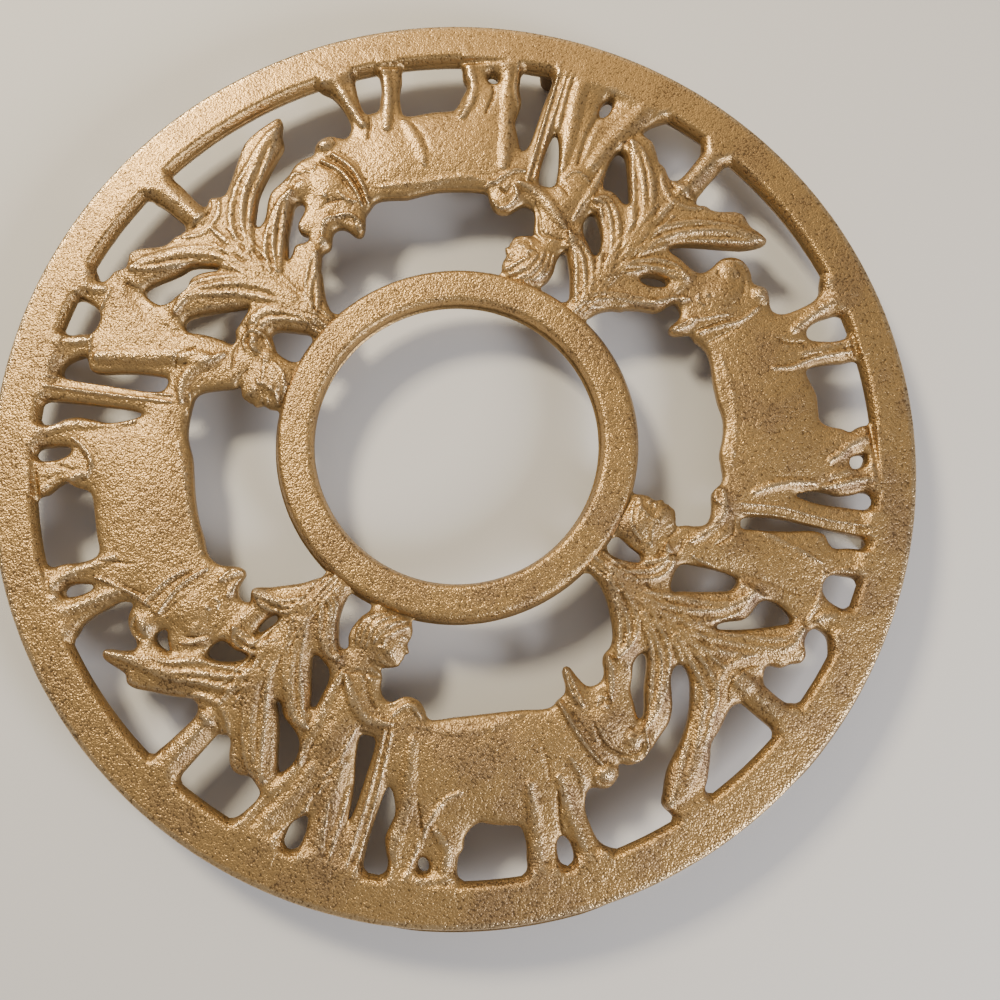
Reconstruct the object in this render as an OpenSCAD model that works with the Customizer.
// Round openwork cast trivet: a flat rim and a hub ring, with four pastoral figure groups between
// them, four leaf sprays rooted on the hub, four struts to the rim, and four cast feet.
// Z is up, the origin is on the table under the centre of the hub, and the south group lies at -Y.

/* [Casting] */
// Diameter over the rim
overall_d = 203; // [170:1:260]
// Height from the table to the rim's top face
overall_h = 13; // [11:0.5:24]
// Thickness of the rim and the hub
casting_t = 5; // [4:0.25:7]
// How far the rim's and the hub's walls swell from a face to the parting line
wall_draft = 1.1; // [0.4:0.1:1.6]

/* [Rim] */
// Width of the rim, from its inner top edge to its outermost line
rim_w = 9; // [7:0.25:13]

/* [Hub] */
// Diameter of the hub's hole at its top face
hub_hole_d = 64.2; // [50:0.2:76]
// Width of the hub's top face
hub_w = 6.7; // [5:0.1:10]

/* [Figures] */
// How far the highest part of a figure lies below the rim's top face
figure_drop = 0.2; // [0.1:0.1:0.6]
// How far the flat parts of a figure lie below its highest part
relief_h = 0.7; // [0.3:0.1:1.2]
// How far the underside of the figures lies above the rim's underside
figure_lift = 0.3; // [0.1:0.1:0.8]
// Radius of the barrel that rounds a cow's flank, across the body
flank_r = 16; // [12:0.5:30]
// Length of a child's head, from the back to the face
head_l = 12.5; // [10:0.5:15]
// Height of a child's head, from the crown to the neck
head_h = 12; // [10:0.5:14]
// Radius of the dome on a child's head and body
dome_r = 14; // [11:0.5:30]
// Radius of the dome on a bell
bell_r = 3.2; // [2.6:0.1:5]

/* [Leaves and struts] */
// Width of a leaf's midrib where it rises from the leaf
midrib_w = 3; // [2:0.1:4]
// How far a side leaf's midrib lies below the stem's
midrib_drop = 0.15; // [0.1:0.05:0.3]
// Diameter of the round back of a strut
strut_d = 7.2; // [6:0.1:10]

/* [Feet] */
// Diameter of a foot where it leaves the rim
foot_root_d = 6.4; // [4:0.1:7]
// Diameter of a foot on the table
foot_tip_d = 4.4; // [3:0.1:6]
// Distance from the outer edge of the rim to the middle of a foot
foot_inset = 5; // [4.4:0.1:6]

/* [Hidden] */
$fn = 96;
dome_fn = 40;
overrun = 2;

// Levels
top_z = overall_h;
under_z = overall_h - casting_t;
parting_z = (top_z + under_z) / 2;
figure_top_z = top_z - figure_drop;
figure_flat_z = figure_top_z - relief_h;
figure_under_z = under_z + figure_lift;

// Radii: a share of 0 is the hub's edge and a share of 1 is the rim's edge, on the top face
rim_r = overall_d / 2;
rim_in_r = rim_r - rim_w;
hub_hole_r = hub_hole_d / 2;
hub_r = hub_hole_r + hub_w;
foot_r = rim_r - foot_inset;

// Turn from one group of figures to the next, of each group about the centre, and of a foot
// inside its group
quarter = 360 / 4;
south_turn = -quarter;
east_turn = 0;
north_turn = quarter;
west_turn = 2 * quarter;
foot_turn = -13;

// Outlines: each point is [degrees from the middle of its group, share from the hub to the rim].
// A point beyond 0 or 1 runs under the hub or the rim, which cut the shape there.
// Steps that a smooth stretch between two outline points takes
steps = 3;
function radius(share) = hub_r + share * (rim_in_r - hub_r);
function place(p) = radius(p[1]) * [cos(p[0]), sin(p[0])];
function bend(a, b, c, d, t) =
  (2 * b + t * (c - a) + t * t * (2 * a - 5 * b + 4 * c - d) + t * t * t * (3 * b - a - 3 * c + d)) / 2;
function smooth(p) =
  let (n = len(p))
  [for (i = [0 : n - 1]) for (k = [0 : steps - 1])
    bend(p[(i + n - 1) % n], p[i], p[(i + 1) % n], p[(i + 2) % n], k / steps)];
function turned(p, turn) = [for (q = p) [q[0] + turn, q[1]]];

// Windows of the south group
south_sky_shares = [
  [-17, 0.27], [-16.8, 0.3], [-16, 0.33], [-14.8, 0.35], [-13.3, 0.35], [-12, 0.33], [-10.7, 0.318],
  [-9, 0.32], [-7.5, 0.333], [-6.4, 0.36], [-5.4, 0.393], [-3, 0.39], [0, 0.38], [5, 0.374],
  [10, 0.376], [14, 0.385], [17, 0.4], [19.4, 0.405], [21, 0.388], [22.8, 0.376], [23.6, 0.345],
  [24, 0.3], [25, 0.28], [26.1, 0.292], [26.6, 0.335], [27.4, 0.382], [28.8, 0.399], [30.7, 0.397],
  [32, 0.375], [32.8, 0.342], [34, 0.318], [36, 0.31], [37.6, 0.29], [39.2, 0.255], [40.9, 0.208],
  [42.4, 0.167], [43.7, 0.12], [44.5, 0.07], [44.4, 0], [43, -0.05], [10, -0.05], [-19, -0.05],
  [-20, 0.1], [-18.5, 0.22]
];
south_window_shares = [
  [[-34.2, 0.05], [-32.8, 0.13], [-31, 0.178], [-29.3, 0.22], [-28, 0.228], [-27, 0.213],
    [-28.3, 0.175], [-28.5, 0.13], [-27.7, 0.08], [-26.3, 0.04], [-26.4, -0.05], [-34.2, -0.05]],
  [[-33, 0.308], [-31.7, 0.302], [-30, 0.31], [-28.2, 0.328], [-27.3, 0.365], [-27.2, 0.42],
    [-27.2, 0.468], [-28.1, 0.48], [-29.2, 0.435], [-30.6, 0.39], [-32, 0.345]],
  [[-33.9, 0.532], [-33, 0.527], [-31.2, 0.563], [-29, 0.582], [-27.2, 0.605], [-26.3, 0.64],
    [-26.1, 0.69], [-27, 0.745], [-27.7, 0.745], [-29, 0.69], [-30.6, 0.62], [-32.4, 0.565]],
  [[-38.2, 0.79], [-37.8, 0.757], [-36.9, 0.742], [-36, 0.753], [-35, 0.795], [-33.6, 0.83],
    [-32, 0.832], [-30.8, 0.817], [-29.2, 0.833], [-28.2, 0.855], [-28.6, 0.91], [-29.3, 0.965],
    [-30, 1.05], [-36, 1.05], [-37, 0.965], [-38, 0.93], [-38.3, 0.86]],
  [[-21, 0.848], [-20.5, 0.88], [-20.35, 0.93], [-20.8, 1.05], [-22.4, 1.05], [-22.7, 0.92],
    [-22.2, 0.878]],
  [[-17.5, 0.508], [-16.2, 0.498], [-14.8, 0.5], [-14.4, 0.54], [-14.6, 0.66], [-14.8, 0.76],
    [-15.3, 0.835], [-15.6, 0.75], [-16.1, 0.67], [-17, 0.59]],
  [[-10.9, 0.672], [-10.1, 0.67], [-9.3, 0.71], [-8.9, 0.76], [-9.5, 0.815], [-9.7, 0.85],
    [-9.2, 0.9], [-8.7, 0.945], [-9.2, 1.05], [-11.5, 1.05], [-11.9, 0.9],
    [-11.6, 0.79]],
  [[-4.7, 0.908], [-4.1, 0.9], [-3.4, 0.92], [-3.5, 0.95], [-4.3, 0.953], [-4.8, 0.932]],
  [[0.4, 0.91], [1.2, 0.868], [1.4, 0.825], [2.4, 0.792], [3.7, 0.775], [5.6, 0.788], [8, 0.798],
    [9.4, 0.81], [9.8, 0.86], [9.5, 0.93], [8.5, 1.05], [1.2, 1.05]],
  [[14.6, 0.872], [15.3, 0.885], [15.7, 0.93], [15.2, 1.05], [13.9, 1.05], [13.7, 0.915]],
  [[19, 0.81], [19.7, 0.765], [20.8, 0.742], [22, 0.755], [23.2, 0.767], [24.6, 0.757],
    [25.7, 0.735], [26.3, 0.702], [27.4, 0.724], [29.2, 0.736], [31.2, 0.724], [34, 0.697],
    [36.4, 0.677], [38.4, 0.64], [40.2, 0.587], [41.6, 0.55], [43.4, 0.531], [44.6, 0.548],
    [43.9, 0.6], [41.6, 0.66], [39, 0.715], [36, 0.762], [33, 0.802], [31.4, 0.835], [30, 0.88],
    [29, 0.915], [29.4, 0.955], [30, 0.99], [29, 1.05], [21.5, 1.05], [20.3, 0.975], [19.3, 0.93],
    [19, 0.87]],
  [[34.8, 0.965], [36, 0.933], [38, 0.88], [39.6, 0.838], [41.6, 0.823], [43.4, 0.806],
    [45.2, 0.794], [46.6, 0.81], [46.8, 0.87], [46.6, 0.94], [45.8, 0.985], [45, 1.05],
    [35.6, 1.05]],
  [[32.7, 0.59], [33.4, 0.601], [34.6, 0.575], [36.6, 0.515], [38.8, 0.47], [40.4, 0.435],
    [40.8, 0.41], [39.6, 0.403], [37.8, 0.415], [36.4, 0.445], [34.4, 0.488], [33.6, 0.535]]
];

// Windows of the east group
east_sky_shares = [
  [-20.5, 0.264], [-20.1, 0.295], [-19.2, 0.33], [-18, 0.347], [-16, 0.351], [-13.8, 0.343],
  [-11.8, 0.336], [-10.4, 0.348], [-9.2, 0.367], [-7.5, 0.373], [-5, 0.362], [-2.4, 0.355],
  [1.2, 0.371], [5.2, 0.379], [9, 0.368], [13.6, 0.37], [17, 0.383], [20.2, 0.389], [22, 0.38],
  [23.8, 0.361], [25.5, 0.357], [26.2, 0.325], [27.1, 0.29], [28.4, 0.28], [29.2, 0.292],
  [29.7, 0.335], [30.6, 0.363], [32, 0.372], [33.5, 0.371], [33.8, 0.34], [33.7, 0.31],
  [34.3, 0.277], [35.7, 0.252], [37.5, 0.22], [39, 0.192], [39.8, 0.165], [41.6, 0.14],
  [43.2, 0.103], [44.2, 0.053], [44.2, -0.05], [12, -0.05], [-18, -0.05], [-22, 0.1], [-22, 0.21]
];
east_window_shares = [
  [[-37, 0.05], [-36.4, 0.095], [-35.4, 0.13], [-34.4, 0.158], [-33.3, 0.162], [-32.3, 0.145],
    [-32, 0.1], [-31.1, 0.04], [-31.3, -0.05], [-36.8, -0.05]],
  [[-35.4, 0.338], [-34.7, 0.318], [-33, 0.307], [-31, 0.303], [-29.5, 0.309], [-28.5, 0.338],
    [-27.5, 0.4], [-26.7, 0.47], [-26.6, 0.53], [-27.8, 0.54], [-29.2, 0.527], [-30.6, 0.483],
    [-32.6, 0.418], [-34.3, 0.365]],
  [[-36.4, 0.56], [-35.6, 0.556], [-34.2, 0.583], [-32.6, 0.627], [-31, 0.643], [-29, 0.65],
    [-27.7, 0.672], [-27.4, 0.72], [-28.1, 0.78], [-29, 0.798], [-30.2, 0.763], [-32.2, 0.7],
    [-34.2, 0.638], [-35.6, 0.59]],
  [[-39, 0.845], [-38.4, 0.822], [-37, 0.802], [-36.2, 0.812], [-35.6, 0.85], [-34.3, 0.875],
    [-33.4, 0.905], [-32, 0.908], [-30.6, 0.88], [-29, 0.875], [-28, 0.9], [-28.3, 0.95],
    [-29.6, 0.985], [-31, 1.05], [-36, 1.05], [-37.6, 0.98], [-39, 0.945]],
  [[-23.1, 0.877], [-22.3, 0.861], [-20.9, 0.86], [-20, 0.88], [-19.6, 0.925], [-19.3, 1.05],
    [-23.6, 1.05], [-23.8, 0.92]],
  [[-17.3, 0.484], [-16.5, 0.474], [-15.4, 0.476], [-14.5, 0.52], [-13.8, 0.6], [-13.6, 0.7],
    [-13.6, 0.83], [-13.6, 0.94], [-13.9, 1.05], [-15, 1.05], [-15.4, 0.93], [-16.1, 0.862],
    [-15.3, 0.83],
    [-14.4, 0.812], [-14.4, 0.755], [-15.3, 0.68], [-16.3, 0.59], [-17, 0.52]],
  [[-9.2, 0.67], [-8.5, 0.7], [-7.9, 0.75], [-8, 0.81], [-8.2, 0.85], [-7.7, 0.91], [-7.2, 0.95],
    [-7.5, 1.05], [-9.2, 1.05], [-9.7, 0.94], [-9.8, 0.87], [-9.9, 0.76]],
  [[-3.9, 0.898], [-3.1, 0.888], [-2.2, 0.897], [-1.8, 0.935], [-2, 0.955], [-3.2, 0.945],
    [-3.8, 0.922]],
  [[1.6, 0.897], [2.1, 0.865], [2.6, 0.81], [3.6, 0.778], [5.4, 0.778], [7.8, 0.781], [10, 0.766],
    [11.8, 0.761], [12.4, 0.79], [12.3, 0.86], [12, 0.925], [11.2, 1.05], [3.2, 1.05], [2.4, 0.943]],
  [[17.3, 0.812], [18.4, 0.825], [19.1, 0.87], [19.2, 0.93], [18.7, 1.05], [15.8, 1.05],
    [15.4, 0.93], [15.9, 0.87], [16.5, 0.827]],
  [[22, 0.84], [22, 0.77], [22.5, 0.735], [23.5, 0.718], [24.8, 0.725], [26.1, 0.739],
    [27.4, 0.739], [28.4, 0.717], [29.3, 0.706], [30.6, 0.72], [32.2, 0.727], [33.7, 0.72],
    [35, 0.692], [35.7, 0.65], [35.4, 0.6], [35.4, 0.56], [36.2, 0.53], [38, 0.518], [40.4, 0.513],
    [42.6, 0.503], [43.5, 0.515], [42.6, 0.552], [40.4, 0.607], [38, 0.667], [36, 0.724],
    [34.7, 0.77], [33.8, 0.83], [33.8, 0.862], [35.2, 0.862], [37.4, 0.846], [39.2, 0.857],
    [40.6, 0.84], [42.2, 0.793], [43.4, 0.77], [44.6, 0.765], [45.8, 0.742], [46.5, 0.78],
    [46.5, 0.87], [46.2, 0.94], [45, 0.978], [44, 1.05], [26, 1.05], [24.8, 0.975], [23.2, 0.945],
    [22.3, 0.9]],
  [[37.8, 0.388], [38.8, 0.398], [40.4, 0.386], [42, 0.36], [42.9, 0.33], [42, 0.317],
    [40.2, 0.33], [38.6, 0.358]]
];

// Windows of the north group
north_sky_shares = [
  [-18.8, 0.256], [-18.2, 0.302], [-17.4, 0.342], [-16, 0.359], [-14.6, 0.358], [-13.2, 0.333],
  [-12, 0.31], [-10.6, 0.3], [-9, 0.302], [-7.6, 0.32], [-6.8, 0.347], [-6.1, 0.38], [-4.4, 0.391],
  [0, 0.391], [4.8, 0.391], [8, 0.384], [11.8, 0.376], [14.6, 0.385], [17, 0.395], [19, 0.394],
  [20.4, 0.374], [22, 0.35], [22.9, 0.312], [23.9, 0.28], [25.2, 0.267], [26.4, 0.28],
  [27.4, 0.318], [28.6, 0.341], [30.2, 0.342], [31.4, 0.32], [32.4, 0.293], [33.6, 0.28],
  [35.3, 0.282], [36.8, 0.254], [38.2, 0.225], [39.2, 0.19], [41, 0.145], [42.4, 0.108],
  [43.5, 0.07], [44, 0.03], [43.8, -0.05], [12, -0.05], [-17, -0.05], [-20, 0.1], [-20, 0.2]
];
north_window_shares = [
  [[-37, 0.035], [-36.2, 0.065], [-34.6, 0.1], [-32.5, 0.147], [-30.3, 0.19], [-28.7, 0.222],
    [-27.7, 0.21], [-27.6, 0.18], [-27.9, 0.14], [-27.5, 0.1], [-26, 0.035], [-26.2, -0.05],
    [-36.8, -0.05]],
  [[-35.6, 0.278], [-34.6, 0.277], [-32.8, 0.298], [-31, 0.32], [-29.5, 0.35], [-28.8, 0.39],
    [-29.2, 0.432], [-30.4, 0.43], [-32.4, 0.394], [-34.2, 0.354], [-35.4, 0.31]],
  [[-34.6, 0.556], [-33.8, 0.544], [-32, 0.558], [-30.4, 0.565], [-29.2, 0.556], [-28.3, 0.585],
    [-27.8, 0.64], [-27.6, 0.7], [-28, 0.748], [-29.4, 0.737], [-31, 0.683], [-32.8, 0.62],
    [-34, 0.58]],
  [[-39.2, 0.79], [-38.6, 0.765], [-37.5, 0.762], [-36, 0.788], [-34.8, 0.793], [-33.4, 0.827],
    [-32, 0.858], [-30.5, 0.864], [-29.9, 0.882], [-30.5, 0.93], [-31.6, 0.975], [-33, 1.05],
    [-37, 1.05], [-38.2, 0.975], [-39.1, 0.94], [-39.3, 0.86]],
  [[-23, 0.857], [-22.4, 0.872], [-22.2, 0.91], [-22.6, 0.945], [-23.3, 0.952], [-23.8, 0.93],
    [-23.7, 0.885]],
  [[-19.8, 0.488], [-19.2, 0.47], [-17.8, 0.466], [-16.6, 0.47], [-16.1, 0.52], [-16, 0.6],
    [-16.3, 0.69], [-16.8, 0.722], [-17.7, 0.685], [-18.7, 0.61], [-19.5, 0.54]],
  [[-12, 0.602], [-11.2, 0.612], [-10.4, 0.662], [-9.5, 0.72], [-9.7, 0.78], [-9.9, 0.83],
    [-9.3, 0.88], [-9.1, 0.94], [-9.5, 1.05], [-13.5, 1.05], [-13.9, 0.93],
    [-13.5, 0.84], [-13.2, 0.74], [-12.8, 0.64]],
  [[-5.7, 0.905], [-4.9, 0.897], [-4.1, 0.917], [-4.2, 0.94], [-5, 0.943], [-5.7, 0.925]],
  [[-1, 0.876], [-0.4, 0.835], [0.5, 0.783], [1.5, 0.761], [4.6, 0.758], [7.6, 0.75], [9.6, 0.757],
    [9.9, 0.8], [9.7, 0.87], [9, 0.93], [8.1, 1.05], [0.6, 1.05], [-0.2, 0.925]],
  [[13.6, 0.803], [14.6, 0.796], [15.8, 0.8], [16.2, 0.85], [16.1, 0.94], [15.6, 1.05],
    [12.7, 1.05], [12.4, 0.91], [13, 0.845]],
  [[18.7, 0.78], [19.1, 0.737], [20.2, 0.714], [21.4, 0.727], [22.5, 0.745], [24.2, 0.745],
    [25.6, 0.73], [26.6, 0.696], [28.4, 0.697], [30.2, 0.69], [32.2, 0.662], [34.4, 0.646],
    [36.6, 0.636], [38.4, 0.602], [40, 0.565], [41.4, 0.545], [42.6, 0.543], [42.4, 0.57],
    [40.8, 0.608], [38.6, 0.658], [36, 0.7], [33.6, 0.738], [31.6, 0.77], [30.2, 0.798],
    [29.6, 0.85], [28.6, 0.895], [28.8, 0.918], [30.6, 0.916], [33.2, 0.906], [35.4, 0.888],
    [37.4, 0.85], [39.6, 0.805], [41.6, 0.77], [43.2, 0.752], [44.3, 0.765], [45.2, 0.783],
    [46.6, 0.766], [47.1, 0.8], [46.9, 0.9], [46.6, 0.96], [45.6, 1.05], [23, 1.05], [21.4, 0.972],
    [20.1, 0.93], [19.1, 0.855]],
  [[32.9, 0.525], [34.2, 0.532], [36, 0.494], [38, 0.453], [39.6, 0.42], [41.2, 0.38],
    [42.8, 0.345], [41.4, 0.35], [39.4, 0.377], [37.8, 0.366], [36.5, 0.36], [35.7, 0.376],
    [36.8, 0.41], [36.2, 0.445], [34.4, 0.47], [33.1, 0.49]]
];

// Windows of the west group
west_sky_shares = [
  [-14.2, 0.21], [-13.3, 0.235], [-12.5, 0.275], [-11.6, 0.32], [-10.8, 0.355], [-9.6, 0.377],
  [-7.5, 0.382], [-4.4, 0.385], [-1.2, 0.384], [1.4, 0.373], [4, 0.361], [8, 0.36], [13.5, 0.366],
  [18, 0.37], [21.4, 0.37], [24, 0.378], [26, 0.375], [28.2, 0.354], [29.4, 0.325], [30.6, 0.292],
  [32, 0.276], [33.3, 0.285], [34.3, 0.323], [35.6, 0.345], [37.4, 0.349], [38.8, 0.328],
  [38, 0.314], [36.7, 0.29], [37.4, 0.262], [39, 0.228], [40.4, 0.192], [42, 0.155], [43.6, 0.118],
  [45, 0.077], [46.2, 0.04], [46.2, -0.05], [12, -0.05], [-14, -0.05], [-16, 0.06], [-16, 0.16]
];
west_window_shares = [
  [[-36, 0.045], [-35, 0.08], [-33.8, 0.115], [-32.4, 0.155], [-31, 0.178], [-29.8, 0.178],
    [-28.4, 0.152], [-26.6, 0.124], [-25.9, 0.085], [-25.9, 0.04], [-26.6, -0.05], [-35.4, -0.05]],
  [[-32.9, 0.328], [-31.8, 0.32], [-30, 0.319], [-28.2, 0.318], [-26.6, 0.32], [-25, 0.299],
    [-23.4, 0.303], [-23.5, 0.345], [-23.1, 0.42], [-22.3, 0.49], [-23, 0.52], [-24.4, 0.527],
    [-25.8, 0.5], [-27.6, 0.455], [-29.6, 0.405], [-31.6, 0.358]],
  [[-36.4, 0.535], [-35.6, 0.535], [-34.2, 0.57], [-32.6, 0.595], [-31.2, 0.603], [-29.8, 0.593],
    [-28, 0.61], [-26, 0.626], [-24.9, 0.655], [-25, 0.71], [-26, 0.744], [-27.6, 0.725],
    [-29.6, 0.687], [-31.6, 0.655], [-33.4, 0.635], [-35, 0.588]],
  [[-38.8, 0.8], [-38.6, 0.77], [-37.4, 0.758], [-36.2, 0.772], [-34.4, 0.78], [-33, 0.812],
    [-31.6, 0.86], [-30.2, 0.884], [-28.8, 0.872], [-27.8, 0.866], [-26.6, 0.897], [-25, 0.907],
    [-24.4, 0.93], [-25.3, 0.97], [-27, 1.05], [-37.2, 1.05], [-38.3, 0.965], [-38.8, 0.9]],
  [[-20.8, 0.94], [-20.3, 0.885], [-19.4, 0.861], [-17.8, 0.857], [-16.5, 0.868], [-15.9, 0.915],
    [-15.4, 0.95], [-15.7, 1.05], [-20.4, 1.05]],
  [[-12.4, 0.525], [-12, 0.503], [-10.8, 0.5], [-9.5, 0.52], [-9, 0.6], [-9, 0.75], [-9, 0.9],
    [-9.8, 0.937], [-11, 0.935], [-12.2, 0.9], [-12.9, 0.86], [-12, 0.84], [-10.9, 0.82],
    [-10.8, 0.775], [-11.5, 0.7], [-12.1, 0.62]],
  [[-5.5, 0.7], [-5.3, 0.615], [-4.8, 0.575], [-4, 0.595], [-3.2, 0.65], [-2.8, 0.71],
    [-3.2, 0.77], [-3.5, 0.83], [-3, 0.885], [-2.1, 0.935], [-2.4, 1.05], [-5.1, 1.05], [-5.6, 0.9]],
  [[1.2, 0.853], [2, 0.851], [2.7, 0.875], [3.1, 0.93], [3, 1.05], [1.6, 1.05], [1, 0.91]],
  [[6.3, 0.866], [7.2, 0.835], [8, 0.785], [9.2, 0.766], [12, 0.765], [15.4, 0.77], [17.6, 0.773],
    [18.5, 0.8], [18.5, 0.86], [18, 0.92], [17.4, 1.05], [9.2, 1.05], [7.9, 0.95], [6.9, 0.908]],
  [[22.3, 0.835], [22.9, 0.845], [23, 0.89], [22.6, 0.94], [21.8, 0.952], [21.2, 0.93],
    [21.4, 0.885]],
  [[26.4, 0.81], [26.3, 0.765], [26.9, 0.73], [27.6, 0.718], [28.3, 0.738], [29.4, 0.762],
    [31.2, 0.773], [33, 0.772], [33.8, 0.79], [33, 0.832], [32, 0.865], [31.5, 0.895],
    [32.6, 0.909], [34.4, 0.888], [36.1, 0.87], [37.2, 0.884], [38.6, 0.87], [40.2, 0.832],
    [42, 0.797], [43.6, 0.765], [45, 0.735], [46.4, 0.732], [47.4, 0.765], [47.3, 0.86],
    [47, 0.95], [46.2, 1.05], [29.4, 1.05], [28, 0.968], [27, 0.93], [26.5, 0.87]],
  [[33.5, 0.668], [34.2, 0.65], [35.2, 0.665], [36.5, 0.678], [37.3, 0.686], [35.9, 0.702],
    [34.6, 0.708], [33.6, 0.695]],
  [[44.1, 0.31], [44.6, 0.287], [45.4, 0.281], [45.9, 0.3], [45.7, 0.335], [45.2, 0.372],
    [44.5, 0.377], [44, 0.345]],
  [[40.8, 0.55], [41.1, 0.51], [42.2, 0.495], [44, 0.49], [45.6, 0.475], [46.8, 0.474],
    [46.4, 0.497], [45.2, 0.53], [43.6, 0.563], [42, 0.581], [41.1, 0.571]]
];

// Shares of the ground that each feature takes, where it meets its neighbours in the metal
southwest_leaves_shares = [
  [-45, -0.1], [-48, 0.08], [-54, 0.2], [-54.6, 0.3], [-51.3, 0.325], [-50.5, 0.34], [-49.8, 0.42],
  [-49.7, 0.48], [-49.3, 0.56], [-50.2, 0.62], [-51.7, 0.67], [-53, 0.69], [-56.3, 0.7],
  [-56.3, 0.78], [-58, 0.84], [-59.5, 0.93], [-52, 0.93], [-36, 0.93], [-31, 0.88], [-28.2, 0.848],
  [-27.6, 0.8], [-27.2, 0.745], [-26.6, 0.68], [-26.8, 0.6], [-26.8, 0.48], [-27.4, 0.42],
  [-27.6, 0.34], [-26.8, 0.31], [-26.8, 0.2], [-28.3, 0.15], [-28, -0.1]
];
southeast_leaves_shares = [
  [-46, -0.1], [-46.5, 0.06], [-52, 0.19], [-54.6, 0.27], [-53.9, 0.36], [-53.8, 0.44],
  [-56, 0.53], [-57.2, 0.6], [-57, 0.65], [-57.4, 0.72], [-60, 0.8], [-62, 0.87], [-62, 0.95],
  [-61, 1.1], [-54.5, 1.1], [-54.3, 0.98], [-50, 0.9], [-36, 0.95], [-30, 0.93], [-28.4, 0.88],
  [-28.4, 0.79], [-27.6, 0.72], [-26.8, 0.64], [-26.7, 0.54], [-27.1, 0.5], [-28.7, 0.33],
  [-29, 0.27], [-30.6, 0.2], [-31.7, 0.14], [-31.4, -0.1]
];
northeast_leaves_shares = [
  [-46, -0.1], [-48, 0.06], [-52, 0.14], [-57, 0.25], [-57.2, 0.33], [-56.6, 0.37], [-55.5, 0.4],
  [-54.7, 0.45], [-54.1, 0.54], [-53, 0.6], [-53.6, 0.7], [-56, 0.76], [-57.5, 0.8], [-57.5, 0.9],
  [-50, 0.92],
  [-36, 0.93], [-32, 0.92], [-30.2, 0.87], [-29.3, 0.81], [-28.3, 0.75], [-28, 0.7], [-28.5, 0.6],
  [-28.6, 0.5], [-29.3, 0.4], [-28.2, 0.34], [-27, 0.26], [-27.8, 0.2], [-28.1, 0.12], [-27.5, -0.1]
];
northwest_leaves_shares = [
  [-46, -0.1], [-46.5, 0.03], [-50, 0.11], [-53.5, 0.2], [-55.2, 0.25], [-54.6, 0.33],
  [-54.3, 0.38], [-54.5, 0.45], [-56.4, 0.5], [-56.8, 0.53], [-56.8, 0.6], [-57.3, 0.67],
  [-60.3, 0.73], [-62.5, 0.85], [-62.5, 0.94], [-50, 0.95], [-36, 0.95], [-28, 0.95],
  [-26.3, 0.905], [-25.9, 0.8], [-25.5, 0.73], [-25.2, 0.66], [-24.2, 0.58], [-23.7, 0.52],
  [-24.5, 0.5], [-28.5, 0.34], [-28.8, 0.29], [-29.8, 0.25], [-30, 0.21], [-29.6, 0.17],
  [-28, 0.1], [-27, -0.1]
];
strut_shares = [
  [-43.3, 0.755], [-38, 0.755], [-37.8, 0.9], [-34, 0.96], [-34, 1.1], [-46.5, 1.1], [-46.5, 0.96],
  [-43.6, 0.9]
];
southeast_strut_shares = [
  [-43.7, 0.805], [-38.3, 0.805], [-38.2, 0.9], [-35, 0.965], [-35, 1.1], [-47, 1.1], [-47, 0.965],
  [-43.8, 0.9]
];
south_child_shares = [
  [-34, -0.1], [-8, -0.1], [-9, 0.25], [-13, 0.33], [-13.2, 0.4], [-14.6, 0.47], [-15.2, 0.55],
  [-15.3, 0.83], [-15.3, 0.93], [-15.2, 1.1], [-32, 1.1], [-32, 0.5]
];
south_tail_shares = [
  [-13.4, 0.3], [-5.6, 0.3], [-5.6, 0.39], [-7.5, 0.42], [-10.5, 0.43], [-11.2, 0.47], [-11.1, 0.6],
  [-10.7, 0.68], [-11, 0.9], [-11.2, 1.1], [-16, 1.1], [-16, 0.4]
];
south_bell_shares = [
  [21, 0.73], [21.3, 0.7], [22.2, 0.677], [24, 0.665], [25.8, 0.68], [27, 0.7], [27, 0.8], [20.8, 0.8]
];
south_cow_shares = [
  [-17, 0.26], [22, 0.28], [24, 0.2], [38, 0.2], [38, 0.68], [34, 0.74], [22, 0.78], [21.5, 0.9],
  [24, 0.99], [24, 1.1], [-17, 1.1]
];
east_child_shares = [
  [-38, -0.1], [-11, -0.1], [-12.5, 0.3], [-13.3, 0.34], [-13.3, 0.47], [-14, 0.55], [-14.2, 0.8],
  [-14.2, 0.97], [-14, 1.1], [-32, 1.1], [-34, 0.5]
];
east_tail_shares = [
  [-13.6, 0.28], [-10, 0.28], [-10.2, 0.35], [-10.7, 0.42], [-10.4, 0.58], [-9.5, 0.68],
  [-9.2, 0.85], [-9, 0.97], [-9, 1.1], [-16, 1.1], [-16, 0.4]
];
east_bell_shares = [
  [24.6, 0.715], [25.3, 0.685], [26.6, 0.672], [27.8, 0.684], [28.7, 0.71], [28.7, 0.78], [24.6, 0.78]
];
east_cow_shares = [
  [-16, 0.28], [24, 0.28], [27, 0.2], [37, 0.25], [38, 0.5], [36.5, 0.72], [28, 0.78], [24, 0.88],
  [26, 0.98], [29, 1.1], [-16, 1.1]
];
north_child_shares = [
  [-33, -0.1], [-8, -0.1], [-9, 0.2], [-14.1, 0.33], [-14.5, 0.42], [-15.9, 0.475], [-16.3, 0.6],
  [-16.6, 0.72], [-16.9, 0.85], [-16.4, 0.95], [-16, 1.1], [-34, 1.1], [-33, 0.5]
];
north_tail_shares = [
  [-14.6, 0.25], [-5.6, 0.25], [-5.7, 0.39], [-7.2, 0.42], [-9.5, 0.44], [-12, 0.45], [-12.8, 0.5],
  [-12.3, 0.62], [-12.8, 0.8], [-13, 1.1], [-18, 1.1], [-18, 0.4]
];
north_bell_shares = [
  [21, 0.72], [22.2, 0.69], [24, 0.675], [25.7, 0.68], [26.7, 0.7], [26.6, 0.78], [21, 0.78]
];
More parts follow.
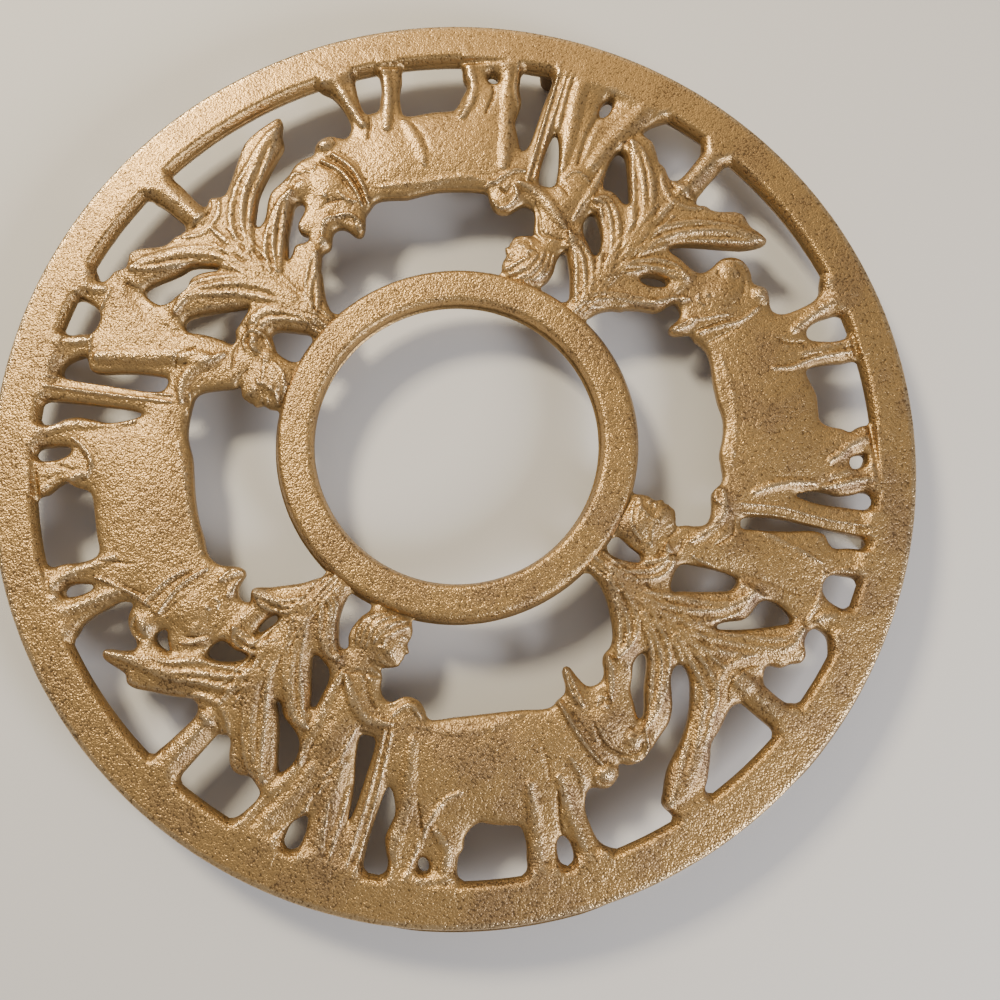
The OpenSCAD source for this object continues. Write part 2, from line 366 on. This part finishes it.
north_cow_shares = [
  [-18, 0.25], [22, 0.28], [24, 0.2], [37, 0.2], [38, 0.6], [30, 0.74], [22, 0.8], [21.4, 0.9],
  [23.5, 0.98], [26, 1.1], [-18, 1.1]
];
west_child_shares = [
  [-36, -0.1], [-4, -0.1], [-5.5, 0.33], [-6, 0.39], [-6.6, 0.44], [-8.9, 0.49], [-9.5, 0.6],
  [-9.6, 0.9], [-9.8, 1.1], [-28, 1.1], [-30, 0.5]
];
west_tail_shares = [
  [-11, 0.42], [-6.4, 0.42], [-5.2, 0.45], [-4.9, 0.58], [-4.9, 0.9], [-4.9, 1.1], [-11, 1.1]
];
west_bell_shares = [
  [28, 0.73], [29.3, 0.705], [31, 0.69], [33, 0.69], [34.2, 0.69], [34.2, 0.8], [28, 0.8]
];
west_cow_shares = [
  [-11, 0.33], [28, 0.3], [31, 0.2], [38, 0.25], [42, 0.3], [42, 0.6], [38, 0.75], [28, 0.8],
  [27.6, 0.93], [29.5, 1], [33, 1.1], [-11, 1.1]
];

// Heads, of a general design: each point is [share of the head's length, share of its height],
// with the face towards the first and the neck towards the second.
boy_head_shares = [
  [0, -0.52], [0.26, -0.47], [0.4, -0.33], [0.43, -0.16], [0.41, -0.03], [0.5, 0.1], [0.42, 0.15],
  [0.44, 0.22], [0.41, 0.28], [0.4, 0.37], [0.27, 0.45], [0.08, 0.52], [-0.28, 0.6], [-0.42, 0.32],
  [-0.5, 0.04], [-0.46, -0.24], [-0.28, -0.45]
];
girl_head_shares = [
  [0.02, -0.52], [0.24, -0.48], [0.38, -0.35], [0.42, -0.17], [0.39, -0.04], [0.47, 0.09],
  [0.4, 0.14], [0.43, 0.21], [0.39, 0.27], [0.38, 0.35], [0.24, 0.43], [0.06, 0.5], [-0.3, 0.6],
  [-0.46, 0.36], [-0.52, 0.06], [-0.47, -0.24], [-0.28, -0.46]
];
// Middle of each head, as [degrees, share]
south_head_share = [-19.7, 0.125];
east_head_share = [-23.2, 0.12];
north_head_share = [-20.4, 0.115];
west_head_share = [-16.9, 0.1];
// Middle of each child's body
south_body_share = [-21.5, 0.47];
east_body_share = [-22, 0.55];
north_body_share = [-23, 0.5];
west_body_share = [-18, 0.55];
// Middle of each bell
south_bell_share = [23.6, 0.712];
east_bell_share = [26.6, 0.705];
north_bell_share = [23.7, 0.71];
west_bell_share = [31, 0.73];
// Middle of a cow's flank, from the hub to the rim
flank_share = 0.565;
// Stem of each spray, and the midribs that leave it, each from its start to its tip
stem_shares = [[-41, 0.1], [-41, 0.72]];
midrib_shares = [
  [[-41, 0.16], [-52, 0.28]], [[-41, 0.27], [-50, 0.43]], [[-41, 0.39], [-51, 0.6]],
  [[-41, 0.52], [-57, 0.83]], [[-41, 0.2], [-29, 0.28]], [[-41, 0.33], [-27.8, 0.54]],
  [[-41, 0.46], [-28.8, 0.8]]
];
strut_turn = -40.8;

module outline(shares) {
  polygon([for (q = smooth(shares)) place(q)]);
}
module ground(shares) {
  polygon([for (q = shares) place(q)]);
}
// Everything between the hub and the rim, cut back to their walls
module between_rings() {
  difference() {
    children();
    ring_wall_cut();
  }
}
module ring_wall_cut() {
  rim_body();
  hub_body();
  translate([0, 0, under_z - overrun]) cylinder(h = casting_t + 2 * overrun, r = hub_hole_r + hub_w / 2);
}
// A head's flat outline, set with its face along the group's way of walking
module head_flat(head_shares, head_share) {
  rotate([0, 0, head_share[0]])
    translate([radius(head_share[1]), 0])
      polygon([for (q = smooth(head_shares)) [q[1] * head_h, q[0] * head_l]]);
}
// The metal of one feature: its ground, less the ground of others, less the windows
module feature_flat(own, others, sky, windows) {
  difference() {
    ground(own);
    for (o = others) ground(o);
    outline(sky);
    for (w = windows) outline(w);
  }
}
module slab(z_from, z_to) {
  translate([0, 0, z_from]) linear_extrude(z_to - z_from) children();
}
// A dome whose crown is level with the figures' highest part
module dome(at_share, r) {
  p = place(at_share);
  translate([p[0], p[1], figure_top_z - r]) sphere(r = r, $fn = dome_fn);
}
// A feature with its flat relief, and with the part of its round crown that lies over its outline
module relief_piece() {
  slab(figure_under_z, figure_flat_z) children(0);
  intersection() {
    slab(figure_flat_z, figure_top_z + overrun) children(0);
    children(1);
  }
}

module rim_body() {
  rotate_extrude()
    polygon([
      [rim_in_r, under_z], [rim_in_r - wall_draft, parting_z], [rim_in_r, top_z],
      [rim_r - wall_draft, top_z], [rim_r, parting_z], [rim_r - wall_draft, under_z]
    ]);
}
module hub_body() {
  rotate_extrude()
    polygon([
      [hub_hole_r, under_z], [hub_hole_r - wall_draft, parting_z], [hub_hole_r, top_z],
      [hub_r, top_z], [hub_r + wall_draft, parting_z], [hub_r, under_z]
    ]);
}
module cow(own, others, sky, windows) {
  between_rings()
    relief_piece() {
      feature_flat(own, others, sky, windows);
      rotate_extrude() translate([radius(flank_share), figure_top_z - flank_r]) circle(r = flank_r);
    }
}
module child(own, others, sky, windows, head_shares, head_share, body_share) {
  between_rings()
    relief_piece() {
      union() {
        feature_flat(own, others, sky, windows);
        head_flat(head_shares, head_share);
      }
      union() {
        dome(head_share, dome_r);
        dome(body_share, dome_r);
      }
    }
}
module tail(own, others, sky, windows) {
  between_rings() slab(figure_under_z, figure_flat_z) feature_flat(own, others, sky, windows);
}
module bell(own, others, sky, windows, bell_share) {
  between_rings()
    relief_piece() {
      feature_flat(own, others, sky, windows);
      dome(bell_share, bell_r);
    }
}
// A spray stands between two groups, so the windows of the group before it are turned back to it
module leaves(own, strut, sky, windows, sky_before, windows_before) {
  between_rings()
    relief_piece() {
      difference() {
        feature_flat(own, [strut], sky, windows);
        outline(turned(sky_before, -quarter));
        for (w = windows_before) outline(turned(w, -quarter));
      }
      union() {
        midrib(stem_shares, 0);
        for (m = midrib_shares) midrib(m, midrib_drop);
      }
    }
}
// A roof-shaped ridge from one point to another, with its crest a little below the highest part
module midrib(ends, drop) {
  start = place(ends[0]);
  way = place(ends[1]) - start;
  deep = 2 * relief_h;
  translate([start[0], start[1], figure_top_z - drop])
    rotate([90, 0, atan2(way[1], way[0]) + 90])
      linear_extrude(norm(way))
        polygon([[-midrib_w, -deep], [midrib_w, -deep], [0, 0]]);
}
module strut(own, windows, windows_before) {
  between_rings()
    intersection() {
      slab(figure_under_z, figure_top_z)
        difference() {
          ground(own);
          for (w = windows) outline(w);
          for (w = windows_before) outline(turned(w, -quarter));
        }
      rotate([0, 90, strut_turn])
        translate([strut_d / 2 - figure_top_z, 0, radius(0.5)])
          cylinder(h = rim_r - radius(0.5), d = strut_d, $fn = dome_fn);
    }
}
module foot() {
  rotate([0, 0, foot_turn])
    translate([foot_r, 0, 0])
      cylinder(h = under_z, d1 = foot_tip_d, d2 = foot_root_d, $fn = dome_fn);
}

module rim_ring() { color("#a98355") rim_body(); }
module hub_ring() { color("#b08a5a") hub_body(); }

module south_cow() {
  color("#b48c5c") rotate([0, 0, south_turn])
    cow(south_cow_shares, [south_child_shares, south_tail_shares, south_bell_shares,
      turned(southeast_leaves_shares, quarter)], south_sky_shares, south_window_shares);
}
module south_boy() {
  color("#9c7748") rotate([0, 0, south_turn])
    child(south_child_shares,
    [southwest_leaves_shares, strut_shares], south_sky_shares, south_window_shares,
      boy_head_shares, south_head_share, south_body_share);
}
module south_tail() {
  color("#8f6d42") rotate([0, 0, south_turn])
    tail(south_tail_shares, [south_child_shares], south_sky_shares, south_window_shares);
}
module south_bell() {
  color("#c79c63") rotate([0, 0, south_turn])
    bell(south_bell_shares, [], south_sky_shares, south_window_shares, south_bell_share);
}
module east_cow() {
  color("#b48c5c") rotate([0, 0, east_turn])
    cow(east_cow_shares, [east_child_shares, east_tail_shares, east_bell_shares,
      turned(northeast_leaves_shares, quarter)], east_sky_shares, east_window_shares);
}
module east_girl() {
  color("#9c7748") rotate([0, 0, east_turn])
    child(east_child_shares, [southeast_leaves_shares, southeast_strut_shares], east_sky_shares,
      east_window_shares, girl_head_shares, east_head_share, east_body_share);
}
module east_tail() {
  color("#8f6d42") rotate([0, 0, east_turn])
    tail(east_tail_shares, [east_child_shares], east_sky_shares, east_window_shares);
}
module east_bell() {
  color("#c79c63") rotate([0, 0, east_turn])
    bell(east_bell_shares, [], east_sky_shares, east_window_shares, east_bell_share);
}
module north_cow() {
  color("#b48c5c") rotate([0, 0, north_turn])
    cow(north_cow_shares, [north_child_shares, north_tail_shares, north_bell_shares,
      turned(northwest_leaves_shares, quarter)], north_sky_shares, north_window_shares);
}
module north_boy() {
  color("#9c7748") rotate([0, 0, north_turn])
    child(north_child_shares,
    [northeast_leaves_shares, strut_shares], north_sky_shares, north_window_shares,
      boy_head_shares, north_head_share, north_body_share);
}
module north_tail() {
  color("#8f6d42") rotate([0, 0, north_turn])
    tail(north_tail_shares, [north_child_shares], north_sky_shares, north_window_shares);
}
module north_bell() {
  color("#c79c63") rotate([0, 0, north_turn])
    bell(north_bell_shares, [], north_sky_shares, north_window_shares, north_bell_share);
}
module west_cow() {
  color("#b48c5c") rotate([0, 0, west_turn])
    cow(west_cow_shares, [west_child_shares, west_tail_shares, west_bell_shares,
      turned(southwest_leaves_shares, quarter)], west_sky_shares, west_window_shares);
}
module west_girl() {
  color("#9c7748") rotate([0, 0, west_turn])
    child(west_child_shares, [northwest_leaves_shares, strut_shares], west_sky_shares, west_window_shares,
      girl_head_shares, west_head_share, west_body_share);
}
module west_tail() {
  color("#8f6d42") rotate([0, 0, west_turn])
    tail(west_tail_shares, [west_child_shares], west_sky_shares, west_window_shares);
}
module west_bell() {
  color("#c79c63") rotate([0, 0, west_turn])
    bell(west_bell_shares,
    [turned(southwest_leaves_shares, quarter)], west_sky_shares, west_window_shares,
      west_bell_share);
}

module southwest_leaves() {
  color("#86683c") rotate([0, 0, south_turn])
    leaves(southwest_leaves_shares, strut_shares, south_sky_shares, south_window_shares,
      west_sky_shares, west_window_shares);
}
module southeast_leaves() {
  color("#86683c") rotate([0, 0, east_turn])
    leaves(southeast_leaves_shares, southeast_strut_shares, east_sky_shares, east_window_shares,
      south_sky_shares, south_window_shares);
}
module northeast_leaves() {
  color("#86683c") rotate([0, 0, north_turn])
    leaves(northeast_leaves_shares, strut_shares, north_sky_shares, north_window_shares,
      east_sky_shares, east_window_shares);
}
module northwest_leaves() {
  color("#86683c") rotate([0, 0, west_turn])
    leaves(northwest_leaves_shares, strut_shares, west_sky_shares, west_window_shares,
      north_sky_shares, north_window_shares);
}

module southwest_strut() {
  color("#a07b4d") rotate([0, 0, south_turn])
    strut(strut_shares, south_window_shares, west_window_shares);
}
module southeast_strut() {
  color("#a07b4d") rotate([0, 0, east_turn])
    strut(southeast_strut_shares, east_window_shares, south_window_shares);
}
module northeast_strut() {
  color("#a07b4d") rotate([0, 0, north_turn])
    strut(strut_shares, north_window_shares, east_window_shares);
}
module northwest_strut() {
  color("#a07b4d") rotate([0, 0, west_turn]) strut(strut_shares, west_window_shares, north_window_shares);
}

module foot_south() { color("#7d6038") rotate([0, 0, south_turn]) foot(); }
module foot_east() { color("#7d6038") rotate([0, 0, east_turn]) foot(); }
module foot_north() { color("#7d6038") rotate([0, 0, north_turn]) foot(); }
module foot_west() { color("#7d6038") rotate([0, 0, west_turn]) foot(); }

rim_ring();
hub_ring();
south_cow();
south_boy();
south_tail();
south_bell();
east_cow();
east_girl();
east_tail();
east_bell();
north_cow();
north_boy();
north_tail();
north_bell();
west_cow();
west_girl();
west_tail();
west_bell();
southwest_leaves();
southeast_leaves();
northeast_leaves();
northwest_leaves();
southwest_strut();
southeast_strut();
northeast_strut();
northwest_strut();
foot_south();
foot_east();
foot_north();
foot_west();
